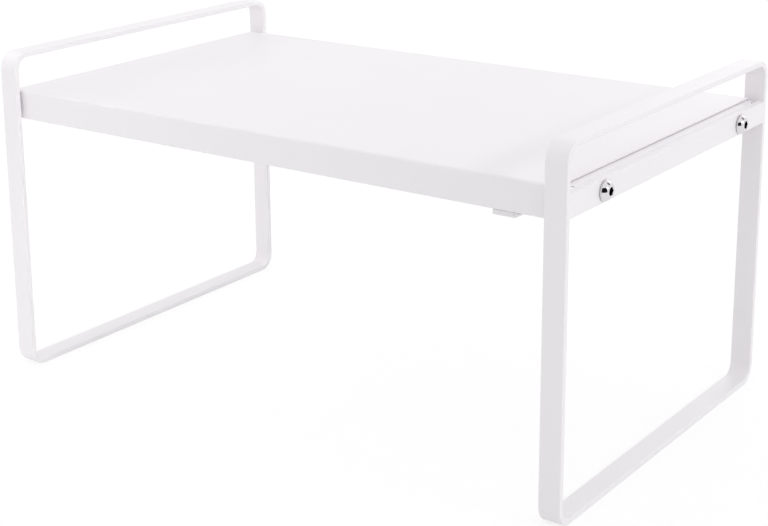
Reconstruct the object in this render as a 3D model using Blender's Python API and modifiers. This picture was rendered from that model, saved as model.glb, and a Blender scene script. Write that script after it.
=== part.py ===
"""Pull-out cabinet shelf: two nested boards of folded sheet, carried by two flat-bar loops.

The left loop carries the outer board. The right loop carries the inner board, which slides in the
channel that the outer board's flanges and lips make.

Frame: metres, +Z up, +X is the way the inner half pulls out, and -Y is the front. The origin is on
the floor, under the middle of the closed shelf.
"""

import math
from typing import NamedTuple

import bmesh
import bpy
from mathutils import Matrix, Vector

# Whole shelf, closed, over the loops
OVERALL_LENGTH = 0.370
OVERALL_DEPTH = 0.225
OVERALL_HEIGHT = 0.190

# Flat bar of the loops and the cross bars
BAR_WIDTH = 0.012
BAR_THICKNESS = 0.003
BAR_EDGE_RADIUS = 0.0005
LOOP_CORNER_RADIUS = 0.010
WELD_GAP = 0.0002
CROSS_BAR_DROP = 0.0009

# Clearances
FIT_GAP = 0.0003
TOP_CLEARANCE = 0.0003
SIDE_CLEARANCE = 0.0006
BOARD_SIDE_GAP = 0.0025
MOUTH_GAP = 0.005
TAIL_CLEARANCE = 0.003
STOP_CLEARANCE = 0.0005

# Boards of folded sheet
HAND_GAP = 0.0189
SHEET_THICKNESS = 0.0008
BEND_INNER_RADIUS = 0.0007
FLANGE_HEIGHT = 0.017
OUTER_END_HEIGHT = 0.018
OUTER_LIP_WIDTH = 0.010
INNER_LIP_WIDTH = 0.008
RELIEF_LENGTH = 0.007
OUTER_RELIEF_INSET = 0.003
INNER_RELIEF_INSET = 0.006
NOTCH_ALLOWANCE = 0.0001

# Stiffening ribs under the inner board
RIB_HEIGHT = 0.006
RIB_CROWN_WIDTH = 0.014
RIB_BRIM_WIDTH = 0.008
RIB_WEB_SLOPE = 0.003
RIB_SIDE_DISTANCE = 0.0606
RIB_END_GAP = 0.015

# Button-head screws and weld nuts
SCREW_END_DISTANCE = 0.0325
SCREW_DIAMETER = 0.006
SCREW_LENGTH = 0.012
SCREW_POINT_CHAMFER = 0.0007
HEAD_DIAMETER = 0.0105
HEAD_HEIGHT = 0.0035
HEAD_RIM_HEIGHT = 0.0009
HEAD_FACE_DIAMETER = 0.006
HEX_KEY_SIZE = 0.004
HEX_SOCKET_DEPTH = 0.0021
HOLE_ALLOWANCE = 0.0003
NUT_THICKNESS = 0.005
NUT_CLEARANCE = 0.0011
NUT_CHAMFER = 0.0006

# Nylon guide clips at the outer board's mouth
PAD_THICKNESS = 0.0011
CLIP_WEB_THICKNESS = 0.0015
GUIDE_LENGTH = 0.0155
GUIDE_SETBACK = 0.0195
GUIDE_DROP = 0.0025
GUIDE_FACE_INSET = 0.0008
LEAD_IN_LENGTH = 0.0032
LEAD_IN_HEIGHT = 0.0019
PEG_DIAMETER = 0.003
DIMPLE_DIAMETER = 0.0009
DIMPLE_DEPTH = 0.0004
DIMPLE_SETBACK = 0.0039
DIMPLE_EDGE = 0.00025

# Nylon shoes on the inner board's tail
SHOE_LENGTH = 0.014
SHOE_SETBACK = 0.0015
SHOE_TOP_THICKNESS = 0.0015
SHOE_PAD_MARGIN = 0.0011

# Stop studs in the inner board's lips
STOP_SETBACK = 0.0685
STUD_HEAD_DIAMETER = 0.006
STUD_SHANK_DIAMETER = 0.003
STUD_RIVET_DIAMETER = 0.005
STUD_RIVET_HEIGHT = 0.001

# Cutters and facets
CUT_OVERRUN = 0.002
WELD_DISTANCE = 0.000001
CORNER_SEGMENTS = 10
BEND_SEGMENTS = 4
ROUND_SEGMENTS = 32
DOME_SEGMENTS = 6
EDGE_SEGMENTS = 2
DIMPLE_SEGMENTS = 12
HEX_SIDES = 6
SMOOTH_ANGLE = math.radians(35)
FLAT_ANGLE = math.radians(0.3)

# Loops and cross bars, worked out
LOOP_X = (OVERALL_LENGTH - BAR_WIDTH) / 2
LEG_INNER_Y = OVERALL_DEPTH / 2 - BAR_THICKNESS
CROSS_BAR_OUTER_X = OVERALL_LENGTH / 2
CROSS_BAR_INNER_X = CROSS_BAR_OUTER_X - BAR_THICKNESS

# Outer board, worked out
BEND_OUTER_RADIUS = BEND_INNER_RADIUS + SHEET_THICKNESS
OUTER_TOP_Z = OVERALL_HEIGHT - BAR_THICKNESS - HAND_GAP
OUTER_HALF_WIDTH = LEG_INNER_Y - BOARD_SIDE_GAP
END_FACE_X = CROSS_BAR_INNER_X - FIT_GAP
MOUTH_X = CROSS_BAR_INNER_X - MOUTH_GAP
OUTER_LIP_BOTTOM_Z = OUTER_TOP_Z - FLANGE_HEIGHT
OUTER_LIP_TOP_Z = OUTER_LIP_BOTTOM_Z + SHEET_THICKNESS

# Inner board, worked out
INNER_TOP_Z = OUTER_TOP_Z - SHEET_THICKNESS - TOP_CLEARANCE
INNER_UNDERSIDE_Z = INNER_TOP_Z - SHEET_THICKNESS
INNER_HALF_WIDTH = OUTER_HALF_WIDTH - SHEET_THICKNESS - SIDE_CLEARANCE
TAIL_X = -CROSS_BAR_OUTER_X + SCREW_LENGTH + TAIL_CLEARANCE
PAD_BOTTOM_Z = OUTER_LIP_TOP_Z + FIT_GAP
PAD_TOP_Z = PAD_BOTTOM_Z + PAD_THICKNESS
INNER_LIP_BOTTOM_Z = PAD_TOP_Z + FIT_GAP
INNER_LIP_TOP_Z = INNER_LIP_BOTTOM_Z + SHEET_THICKNESS
INNER_FLANGE_HEIGHT = INNER_TOP_Z - INNER_LIP_BOTTOM_Z
RIB_Y = INNER_HALF_WIDTH - RIB_SIDE_DISTANCE

# Cross bars, screws and nuts, worked out
CROSS_BAR_TOP_Z = INNER_TOP_Z - CROSS_BAR_DROP
CROSS_BAR_Z = CROSS_BAR_TOP_Z - BAR_WIDTH / 2
CROSS_BAR_BOTTOM_Z = CROSS_BAR_TOP_Z - BAR_WIDTH
SCREW_Y = LEG_INNER_Y - SCREW_END_DISTANCE
SCREW_HOLE_RADIUS = SCREW_DIAMETER / 2 + HOLE_ALLOWANCE
HEAD_SEAT_X = CROSS_BAR_OUTER_X + WELD_GAP
NUT_FLAT_RADIUS = INNER_UNDERSIDE_Z - CROSS_BAR_Z - NUT_CLEARANCE
NUT_CORNER_RADIUS = NUT_FLAT_RADIUS / math.cos(math.pi / HEX_SIDES)
NUT_X = END_FACE_X - SHEET_THICKNESS - FIT_GAP - NUT_THICKNESS / 2

# Lips, clips and studs, worked out
OUTER_LIP_EDGE_Y = OUTER_HALF_WIDTH - OUTER_LIP_WIDTH
INNER_LIP_EDGE_Y = INNER_HALF_WIDTH - INNER_LIP_WIDTH
OUTER_LIP_HOLE_Y = OUTER_LIP_EDGE_Y + (OUTER_LIP_WIDTH - BEND_OUTER_RADIUS) / 2
INNER_LIP_HOLE_Y = INNER_LIP_EDGE_Y + (INNER_LIP_WIDTH - BEND_OUTER_RADIUS) / 2
PEG_HOLE_RADIUS = PEG_DIAMETER / 2 + HOLE_ALLOWANCE
STUD_HOLE_RADIUS = STUD_SHANK_DIAMETER / 2 + HOLE_ALLOWANCE
GUIDE_X = MOUTH_X - GUIDE_SETBACK - GUIDE_LENGTH / 2
SHOE_X = TAIL_X + SHOE_SETBACK + SHOE_LENGTH / 2
STOP_X = TAIL_X + STOP_SETBACK
SLIDE_TRAVEL = GUIDE_X - GUIDE_LENGTH / 2 - STOP_X - STUD_HEAD_DIAMETER / 2 - STOP_CLEARANCE

LEFT = -1
RIGHT = 1
FRONT = -1
REAR = 1
SIDE_NAMES = {FRONT: "front", REAR: "rear"}
END_NAMES = {LEFT: "left", RIGHT: "right"}


def clear_scene():
    """Removes every object and collection of the start-up scene."""
    for obj in list(bpy.data.objects):
        bpy.data.objects.remove(obj, do_unlink=True)
    for collection in list(bpy.data.collections):
        bpy.data.collections.remove(collection)


def new_collection(name):
    """Adds a collection to the scene and returns it."""
    collection = bpy.data.collections.new(name)
    bpy.context.scene.collection.children.link(collection)
    return collection


def principled(name, color, roughness, metallic):
    """Returns a material with one Principled shader."""
    material = bpy.data.materials.new(name)
    material.use_nodes = True
    shader = material.node_tree.nodes["Principled BSDF"]
    shader.inputs["Base Color"].default_value = (*color, 1.0)
    shader.inputs["Roughness"].default_value = roughness
    shader.inputs["Metallic"].default_value = metallic
    material.diffuse_color = (*color, 1.0)
    return material


class Shop:
    """Collections, materials and parents that every piece is made with."""

    def __init__(self):
        self.parts = new_collection("pull_out_cabinet_shelf")
        self.cutters = new_collection("cutters")
        self.halves = {
            LEFT: self.empty("fixed_half", (0, 0, 0)),
            RIGHT: self.empty("pull_out_half", (0, 0, INNER_LIP_BOTTOM_Z)),
        }

    def empty(self, name, location):
        """Adds a parent empty. The pull-out half's lies on the slide's axis."""
        obj = bpy.data.objects.new(name, None)
        obj.location = location
        self.parts.objects.link(obj)
        return obj

    def piece(self, name, data, look, half, matrix):
        """Makes one named piece of a half, with a material of its own, at a place in the world."""
        data.materials.clear()
        data.materials.append(principled(name, *look))
        obj = bpy.data.objects.new(name, data)
        self.parts.objects.link(obj)
        parent = self.halves[half]
        obj.parent = parent
        obj.matrix_parent_inverse = Matrix.Identity(4)
        obj.matrix_basis = Matrix.Translation(-parent.location) @ matrix
        return obj

    def cutter(self, name, mesh, matrix):
        """Makes a hidden tool shape at a place in the world."""
        obj = bpy.data.objects.new(name, mesh)
        obj.matrix_basis = matrix
        obj.hide_render = True
        obj.display_type = "WIRE"
        self.cutters.objects.link(obj)
        return obj


# Looks: colour, roughness and metallic value
WHITE_POWDER_COAT = ((0.90, 0.90, 0.91), 0.45, 0.0)
BRIGHT_NICKEL = ((0.72, 0.71, 0.69), 0.18, 1.0)
ZINC_PLATE = ((0.62, 0.63, 0.64), 0.38, 1.0)
WHITE_NYLON = ((0.88, 0.88, 0.87), 0.55, 0.0)


def place(x, y, z, turn=None):
    """Returns a placement matrix: a move after an optional turn."""
    matrix = Matrix.Translation((x, y, z))
    return matrix @ turn if turn else matrix


def facing_x(end):
    """Returns the turn that points a piece's own +Z out of the left or right end."""
    return Matrix.Rotation(end * math.pi / 2, 4, "Y")


def mesh_from(name, bm):
    """Turns a bmesh into mesh data with smooth round faces and sharp edges."""
    mesh = bpy.data.meshes.new(name)
    bm.to_mesh(mesh)
    bm.free()
    mesh.shade_smooth()
    mesh.set_sharp_from_angle(angle=SMOOTH_ANGLE)
    return mesh


def boolean(obj, tool, operation="DIFFERENCE"):
    """Adds a Boolean modifier with the exact solver."""
    modifier = obj.modifiers.new(tool.name, "BOOLEAN")
    modifier.operation = operation
    modifier.solver = "EXACT"
    modifier.object = tool


def round_bar(name, radius, length, segments=ROUND_SEGMENTS):
    """Returns a closed cylinder or prism along Z, centred on its origin."""
    bm = bmesh.new()
    bmesh.ops.create_cone(
        bm, cap_ends=True, segments=segments, radius1=radius, radius2=radius, depth=length
    )
    return mesh_from(name, bm)


def block(name, size_x, size_y, size_z):
    """Returns a closed box centred on its origin."""
    bm = bmesh.new()
    bmesh.ops.create_cube(bm, size=1.0)
    bmesh.ops.scale(bm, vec=(size_x, size_y, size_z), verts=bm.verts)
    return mesh_from(name, bm)


def profile_mesh(name, points):
    """Returns an open chain of edges in the XZ plane, to be turned about Z."""
    mesh = bpy.data.meshes.new(name)
    edges = [(i, i + 1) for i in range(len(points) - 1)]
    mesh.from_pydata([(x, 0, z) for x, z in points], edges, [])
    return mesh


def turn_about_z(obj):
    """Adds a Screw modifier that revolves a profile mesh about Z to a closed solid."""
    screw = obj.modifiers.new("turned", "SCREW")
    screw.axis = "Z"
    screw.steps = ROUND_SEGMENTS
    screw.render_steps = ROUND_SEGMENTS
    screw.use_merge_vertices = True
    screw.merge_threshold = WELD_DISTANCE
    screw.use_smooth_shade = True


def outline_curve(name, outlines, half_thickness, edge_radius=0.0):
    """Returns a filled flat curve, extruded along Z, with rounded long edges."""
    curve = bpy.data.curves.new(name, "CURVE")
    curve.dimensions = "2D"
    curve.fill_mode = "BOTH"
    curve.extrude = half_thickness - edge_radius
    curve.bevel_depth = edge_radius
    curve.bevel_resolution = EDGE_SEGMENTS - 1
    curve.offset = -edge_radius
    for outline in outlines:
        spline = curve.splines.new("POLY")
        spline.points.add(len(outline) - 1)
        for point, (x, y) in zip(spline.points, outline):
            point.co = (x, y, 0, 1)
        spline.use_cyclic_u = True
    return curve


def welded_mesh(curve):
    """Returns a curve's mesh with its caps welded, and removes the curve."""
    obj = bpy.data.objects.new(curve.name, curve)
    bpy.context.scene.collection.objects.link(obj)
    evaluated = obj.evaluated_get(bpy.context.evaluated_depsgraph_get())
    mesh = bpy.data.meshes.new_from_object(evaluated)
    bm = bmesh.new()
    bm.from_mesh(mesh)
    bmesh.ops.remove_doubles(bm, verts=bm.verts, dist=WELD_DISTANCE)
    bmesh.ops.dissolve_limit(bm, angle_limit=FLAT_ANGLE, verts=bm.verts, edges=bm.edges)
    bpy.data.objects.remove(obj, do_unlink=True)
    bpy.data.meshes.remove(mesh)
    name = curve.name
    bpy.data.curves.remove(curve)
    return mesh_from(name, bm)


def rounded_rectangle(width, height, radius):
    """Returns the points of a rectangle with round corners, centred on the origin."""
    points = []
    for quarter, (side_x, side_y) in enumerate(((1, 1), (-1, 1), (-1, -1), (1, -1))):
        for step in range(CORNER_SEGMENTS + 1):
            angle = (quarter + step / CORNER_SEGMENTS) * math.pi / 2
            x = side_x * (width / 2 - radius) + radius * math.cos(angle)
            y = side_y * (height / 2 - radius) + radius * math.sin(angle)
            points.append((x, y))
    return points


def bar_loop(shop, end):
    """Bends a flat bar to the closed loop of one end: legs, foot bar and hand bar."""
    outer = rounded_rectangle(OVERALL_DEPTH, OVERALL_HEIGHT, LOOP_CORNER_RADIUS)
    inner = rounded_rectangle(
        OVERALL_DEPTH - 2 * BAR_THICKNESS,
        OVERALL_HEIGHT - 2 * BAR_THICKNESS,
        LOOP_CORNER_RADIUS - BAR_THICKNESS,
    )
    name = f"{END_NAMES[end]}_loop"
    curve = outline_curve(name, (outer, inner), BAR_WIDTH / 2, BAR_EDGE_RADIUS)
    upright = Matrix(((0, 0, 1), (1, 0, 0), (0, 1, 0))).to_4x4()
    matrix = place(end * LOOP_X, 0, OVERALL_HEIGHT / 2, upright)
    shop.piece(name, welded_mesh(curve), WHITE_POWDER_COAT, end, matrix)


def screw_places(end, x):
    """Yields the side and the placement of each of an end's two screws, at a distance x."""
    for side in (FRONT, REAR):
        yield side, place(end * x, side * SCREW_Y, CROSS_BAR_Z, facing_x(end))


def drill_screw_holes(shop, obj, end, x, thickness):
    """Cuts the two screw holes of an end through a bar or a flange whose distance is x."""
    for side, matrix in screw_places(end, x):
        name = f"{obj.name}_hole_{SIDE_NAMES[side]}"
        drill = round_bar(name, SCREW_HOLE_RADIUS, thickness + 2 * CUT_OVERRUN)
        boolean(obj, shop.cutter(name, drill, matrix))


def cross_bar(shop, end):
    """Makes the flat bar welded between the legs, which the board's end is screwed to."""
    name = f"{END_NAMES[end]}_cross_bar"
    bar = block(name, BAR_THICKNESS, 2 * (LEG_INNER_Y - WELD_GAP), BAR_WIDTH)
    centre_x = CROSS_BAR_OUTER_X - BAR_THICKNESS / 2
    obj = shop.piece(name, bar, WHITE_POWDER_COAT, end, place(end * centre_x, 0, CROSS_BAR_Z))
    bevel = obj.modifiers.new("rounded_edges", "BEVEL")
    bevel.width = BAR_EDGE_RADIUS
    bevel.segments = EDGE_SEGMENTS
    drill_screw_holes(shop, obj, end, centre_x, BAR_THICKNESS)


def cut_across(bm, axis, position):
    """Divides the sheet along a line at a position on an axis."""
    normal = Vector((0, 0, 0))
    normal[axis] = 1
    geometry = bm.verts[:] + bm.edges[:] + bm.faces[:]
    bmesh.ops.bisect_plane(
        bm, geom=geometry, dist=WELD_DISTANCE, plane_co=normal * position, plane_no=normal
    )


def fold_out(bm, edges, move):
    """Extrudes free edges of the sheet by a move and returns the new outer edges."""
    made = bmesh.ops.extrude_edge_only(bm, edges=edges)["geom"]
    verts = {item for item in made if isinstance(item, bmesh.types.BMVert)}
    bmesh.ops.translate(bm, verts=list(verts), vec=move)
    return [
        item for item in made
        if isinstance(item, bmesh.types.BMEdge) and verts.issuperset(item.verts)
    ]


def free_edges(bm, axis, position):
    """Returns the sheet's free edges that lie at a position on an axis."""
    return [
        edge for edge in bm.edges
        if edge.is_boundary and all(abs(vert.co[axis] - position) < WELD_DISTANCE for vert in edge.verts)
    ]


def round_folds(bm, radius):
    """Rounds every fold line of the sheet to a bend radius."""
    folds = [
        edge for edge in bm.edges
        if len(edge.link_faces) == 2 and edge.calc_face_angle() > SMOOTH_ANGLE
    ]
    bmesh.ops.bevel(
        bm, geom=folds, offset=radius, offset_type="OFFSET", segments=BEND_SEGMENTS,
        profile=0.5, affect="EDGES", clamp_overlap=False,
    )


def thicken(obj):
    """Gives an open sheet its thickness, behind the modelled face."""
    solidify = obj.modifiers.new("sheet", "SOLIDIFY")
    solidify.thickness = SHEET_THICKNESS
    solidify.offset = -1
    solidify.use_even_offset = True
    solidify.use_quality_normals = True


def face_sheet(bm, outward):
    """Turns all faces of a sheet one way, so that its largest face points outward."""
    bmesh.ops.recalc_face_normals(bm, faces=bm.faces)
    bm.faces.ensure_lookup_table()
    largest = max(bm.faces, key=lambda face: face.calc_area())
    if largest.normal.dot(outward) < 0:
        bmesh.ops.reverse_faces(bm, faces=bm.faces)


class BoardSizes(NamedTuple):
    """The outer sizes of a folded board."""

    length: float
    half_width: float
    flange_height: float
    end_height: float
    lip_width: float
    relief_inset: float


def folded_board(shop, name, half, sizes, matrix):
    """Folds a board: a blank with notched corners, two lipped side flanges and one end flange.

    Near the end flange the side flanges are cut back, but their bends run on over the cut. The
    board's own origin is the end flange's outer face at the top. Its open end is at +X.
    """
    notch = BEND_OUTER_RADIUS + NOTCH_ALLOWANCE
    end_y = sizes.half_width - sizes.relief_inset
    bm = bmesh.new()
    bmesh.ops.create_grid(bm, x_segments=1, y_segments=1, size=0.5)
    bmesh.ops.scale(bm, vec=(sizes.length, 2 * sizes.half_width, 1), verts=bm.verts)
    bmesh.ops.translate(bm, vec=(sizes.length / 2, 0, 0), verts=bm.verts)
    for x in (notch, RELIEF_LENGTH):
        cut_across(bm, 0, x)
    for y in (end_y, -end_y):
        cut_across(bm, 1, y)
    corners = []
    for face in bm.faces:
        centre = face.calc_center_median()
        if centre.x < notch and abs(centre.y) > end_y:
            corners.append(face)
    bmesh.ops.delete(bm, geom=corners, context="FACES")
    for side in (FRONT, REAR):
        side_edges = free_edges(bm, 1, side * sizes.half_width)
        brow_edges = fold_out(bm, side_edges, (0, 0, -notch))
        past_relief = [
            edge for edge in brow_edges
            if all(vert.co.x > RELIEF_LENGTH - WELD_DISTANCE for vert in edge.verts)
        ]
        flange_edges = fold_out(bm, past_relief, (0, 0, notch - sizes.flange_height))
        fold_out(bm, flange_edges, (0, -side * sizes.lip_width, 0))
    fold_out(bm, free_edges(bm, 0, 0), (0, 0, -sizes.end_height))
    round_folds(bm, BEND_OUTER_RADIUS)
    face_sheet(bm, Vector((0, 0, 1)))
    obj = shop.piece(name, mesh_from(name, bm), WHITE_POWDER_COAT, half, matrix)
    thicken(obj)
    return obj


def drill_lip_holes(shop, obj, label, x, y, z, radius):
    """Cuts one hole in the front lip and one in the rear lip of a board."""
    for side in (FRONT, REAR):
        name = f"{label}_hole_{SIDE_NAMES[side]}"
        drill = round_bar(name, radius, SHEET_THICKNESS + 2 * CUT_OVERRUN)
        boolean(obj, shop.cutter(name, drill, place(x, side * y, z - SHEET_THICKNESS / 2)))


def outer_board(shop):
    """Makes the outer board, which the left loop carries, with its open mouth at the right."""
    sizes = BoardSizes(
        length=MOUTH_X + END_FACE_X,
        half_width=OUTER_HALF_WIDTH,
        flange_height=FLANGE_HEIGHT,
        end_height=OUTER_END_HEIGHT,
        lip_width=OUTER_LIP_WIDTH,
        relief_inset=OUTER_RELIEF_INSET,
    )
    obj = folded_board(shop, "outer_board", LEFT, sizes, place(-END_FACE_X, 0, OUTER_TOP_Z))
    drill_screw_holes(shop, obj, LEFT, END_FACE_X, SHEET_THICKNESS)
    drill_lip_holes(shop, obj, "guide", GUIDE_X, OUTER_LIP_HOLE_Y, OUTER_LIP_TOP_Z, PEG_HOLE_RADIUS)


def inner_board(shop):
    """Makes the inner board, which the right loop carries and pulls out of the outer board."""
    sizes = BoardSizes(
        length=END_FACE_X - TAIL_X,
        half_width=INNER_HALF_WIDTH,
        flange_height=INNER_FLANGE_HEIGHT,
        end_height=INNER_TOP_Z - CROSS_BAR_BOTTOM_Z,
        lip_width=INNER_LIP_WIDTH,
        relief_inset=INNER_RELIEF_INSET,
    )
    matrix = place(END_FACE_X, 0, INNER_TOP_Z, Matrix.Rotation(math.pi, 4, "Z"))
    obj = folded_board(shop, "inner_board", RIGHT, sizes, matrix)
    drill_screw_holes(shop, obj, RIGHT, END_FACE_X, SHEET_THICKNESS)
    drill_lip_holes(shop, obj, "shoe", SHOE_X, INNER_LIP_HOLE_Y, INNER_LIP_TOP_Z, PEG_HOLE_RADIUS)
    drill_lip_holes(shop, obj, "stop", STOP_X, INNER_LIP_HOLE_Y, INNER_LIP_TOP_Z, STUD_HOLE_RADIUS)


def stiffening_rib(shop, side):
    """Folds a top-hat rib, whose brims are welded to the inner board's underside."""
    name = f"rib_{SIDE_NAMES[side]}"
    low_x = TAIL_X + RIB_END_GAP
    high_x = END_FACE_X - SHEET_THICKNESS - RIB_END_GAP
    bm = bmesh.new()
    bmesh.ops.create_grid(bm, x_segments=1, y_segments=1, size=0.5)
    bmesh.ops.scale(bm, vec=(high_x - low_x, RIB_CROWN_WIDTH, 1), verts=bm.verts)
    bmesh.ops.translate(bm, vec=(0, 0, -RIB_HEIGHT), verts=bm.verts)
    for wall in (FRONT, REAR):
        crown_edges = free_edges(bm, 1, wall * RIB_CROWN_WIDTH / 2)
        rise = RIB_HEIGHT - SHEET_THICKNESS
        web_edges = fold_out(bm, crown_edges, (0, wall * RIB_WEB_SLOPE, rise))
        fold_out(bm, web_edges, (0, wall * RIB_BRIM_WIDTH, 0))
    round_folds(bm, BEND_INNER_RADIUS)
    face_sheet(bm, Vector((0, 0, -1)))
    matrix = place((low_x + high_x) / 2, side * RIB_Y, INNER_UNDERSIDE_Z - FIT_GAP)
    thicken(shop.piece(name, mesh_from(name, bm), WHITE_POWDER_COAT, RIGHT, matrix))


def dome_points(top_radius, top_z, rim_radius, rim_z):
    """Returns points down a ball's surface, from a higher circle about Z to a lower, wider one."""
    squares = top_radius ** 2 + top_z ** 2 - rim_radius ** 2 - rim_z ** 2
    centre_z = squares / (2 * (top_z - rim_z))
    ball_radius = math.hypot(top_radius, top_z - centre_z)
    top_angle = math.atan2(top_radius, top_z - centre_z)
    rim_angle = math.atan2(rim_radius, rim_z - centre_z)
    points = []
    for step in range(DOME_SEGMENTS + 1):
        angle = top_angle + (rim_angle - top_angle) * step / DOME_SEGMENTS
        points.append((ball_radius * math.sin(angle), centre_z + ball_radius * math.cos(angle)))
    return points


def button_screw_profile():
    """Returns the screw's half outline, from the head's face down its outer side to the point."""
    head_radius = HEAD_DIAMETER / 2
    shank_radius = SCREW_DIAMETER / 2
    points = [(0, HEAD_HEIGHT)]
    points += dome_points(HEAD_FACE_DIAMETER / 2, HEAD_HEIGHT, head_radius, HEAD_RIM_HEIGHT)
    points.append((head_radius, 0))
    points.append((shank_radius, 0))
    points.append((shank_radius, SCREW_POINT_CHAMFER - SCREW_LENGTH))
    points.append((shank_radius - SCREW_POINT_CHAMFER, -SCREW_LENGTH))
    points.append((0, -SCREW_LENGTH))
    return points


def screws(shop, end):
    """Turns the two button-head screws of an end and sinks their hexagon sockets."""
    socket_radius = HEX_KEY_SIZE / 2 / math.cos(math.pi / HEX_SIDES)
    for side, matrix in screw_places(end, HEAD_SEAT_X):
        name = f"{END_NAMES[end]}_screw_{SIDE_NAMES[side]}"
        profile = profile_mesh(name, button_screw_profile())
        obj = shop.piece(name, profile, BRIGHT_NICKEL, end, matrix)
        turn_about_z(obj)
        depth = HEX_SOCKET_DEPTH + CUT_OVERRUN
        hexagon = round_bar(f"{name}_socket", socket_radius, depth, segments=HEX_SIDES)
        sunk = matrix @ Matrix.Translation((0, 0, HEAD_HEIGHT + CUT_OVERRUN - depth / 2))
        boolean(obj, shop.cutter(hexagon.name, hexagon, sunk))


def nut_chamfer_profile():
    """Returns the half outline of the turned blank that a nut's corners are chamfered to."""
    half = NUT_THICKNESS / 2
    wide = NUT_CORNER_RADIUS + CUT_OVERRUN
    return [
        (0, half + CUT_OVERRUN),
        (NUT_FLAT_RADIUS, half + CUT_OVERRUN),
        (NUT_FLAT_RADIUS, half),
        (NUT_CORNER_RADIUS, half - NUT_CHAMFER),
        (wide, 0),
        (NUT_CORNER_RADIUS, NUT_CHAMFER - half),
        (NUT_FLAT_RADIUS, -half),
        (NUT_FLAT_RADIUS, -half - CUT_OVERRUN),
        (0, -half - CUT_OVERRUN),
    ]


def weld_nuts(shop, end):
    """Makes the two hexagon weld nuts inside an end flange."""
    for side, matrix in screw_places(end, NUT_X):
        name = f"{END_NAMES[end]}_nut_{SIDE_NAMES[side]}"
        blank = round_bar(name, NUT_CORNER_RADIUS, NUT_THICKNESS, segments=HEX_SIDES)
        obj = shop.piece(name, blank, ZINC_PLATE, end, matrix)
        chamfer = profile_mesh(f"{name}_chamfer", nut_chamfer_profile())
        turned = shop.cutter(chamfer.name, chamfer, matrix)
        turn_about_z(turned)
        boolean(obj, turned, "INTERSECT")
        bore = round_bar(f"{name}_bore", SCREW_HOLE_RADIUS, NUT_THICKNESS + 2 * CUT_OVERRUN)
        boolean(obj, shop.cutter(bore.name, bore, matrix))


def across_board(side):
    """Returns the turn for a cross-section: its own X points outward, Y up and Z along the board."""
    return Matrix(((0, 0, side), (side, 0, 0), (0, 1, 0))).to_4x4()


def lip_clip(shop, name, half, side, outline, length, x, peg_y, peg_low, peg_high):
    """Extrudes a clip that hooks round a lip, and adds the peg that snaps into the lip's hole."""
    clip = welded_mesh(outline_curve(name, (outline,), length / 2))
    obj = shop.piece(name, clip, WHITE_NYLON, half, place(x, 0, 0, across_board(side)))
    peg = round_bar(f"{name}_peg", PEG_DIAMETER / 2, peg_high - peg_low)
    centre = (peg_high + peg_low) / 2
    boolean(obj, shop.cutter(peg.name, peg, place(x, side * peg_y, centre)), "UNION")
    return obj


def guide_clip(shop, side):
    """Makes the nylon guide at the mouth: a plate below the outer lip and a pad above it.

    The inner board slides on the pad, and the stop stud meets the pad's end at full reach.
    """
    web_y = OUTER_LIP_EDGE_Y - FIT_GAP
    back_y = web_y - CLIP_WEB_THICKNESS
    face_y = OUTER_HALF_WIDTH - GUIDE_FACE_INSET
    pad_y = OUTER_HALF_WIDTH - BEND_OUTER_RADIUS - FIT_GAP
    plate_bottom_z = OUTER_LIP_BOTTOM_Z - GUIDE_DROP
    plate_top_z = OUTER_LIP_BOTTOM_Z - FIT_GAP
    outline = (
        (back_y, plate_bottom_z), (face_y, plate_bottom_z), (face_y, plate_top_z), (web_y, plate_top_z),
        (web_y, PAD_BOTTOM_Z), (pad_y, PAD_BOTTOM_Z), (pad_y, PAD_TOP_Z), (back_y, PAD_TOP_Z),
    )
    name = f"guide_{SIDE_NAMES[side]}"
    peg_low = plate_top_z - FIT_GAP
    peg_high = PAD_BOTTOM_Z + FIT_GAP
    obj = lip_clip(
        shop, name, LEFT, side, outline, GUIDE_LENGTH, GUIDE_X, OUTER_LIP_HOLE_Y, peg_low, peg_high
    )
    mouth_end_x = GUIDE_X + GUIDE_LENGTH / 2
    slope = math.atan2(LEAD_IN_HEIGHT, LEAD_IN_LENGTH)
    reach = 2 * (LEAD_IN_LENGTH + LEAD_IN_HEIGHT)
    wedge = block(f"{name}_lead_in", reach, 2 * OUTER_HALF_WIDTH, reach)
    lead_in_start = Matrix.Translation((mouth_end_x - LEAD_IN_LENGTH, 0, plate_bottom_z))
    below = Matrix.Translation((reach / 2 - CUT_OVERRUN, 0, -reach / 2))
    tilted = lead_in_start @ Matrix.Rotation(-slope, 4, "Y") @ below
    boolean(obj, shop.cutter(wedge.name, wedge, tilted))
    dimple = round_bar(f"{name}_dimple", DIMPLE_DIAMETER / 2, 2 * DIMPLE_DEPTH, segments=DIMPLE_SEGMENTS)
    dimple_z = plate_top_z - DIMPLE_EDGE - DIMPLE_DIAMETER / 2
    flat = Matrix.Rotation(math.pi / 2, 4, "X")
    spot = place(mouth_end_x - DIMPLE_SETBACK, side * face_y, dimple_z, flat)
    boolean(obj, shop.cutter(dimple.name, dimple, spot))


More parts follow.
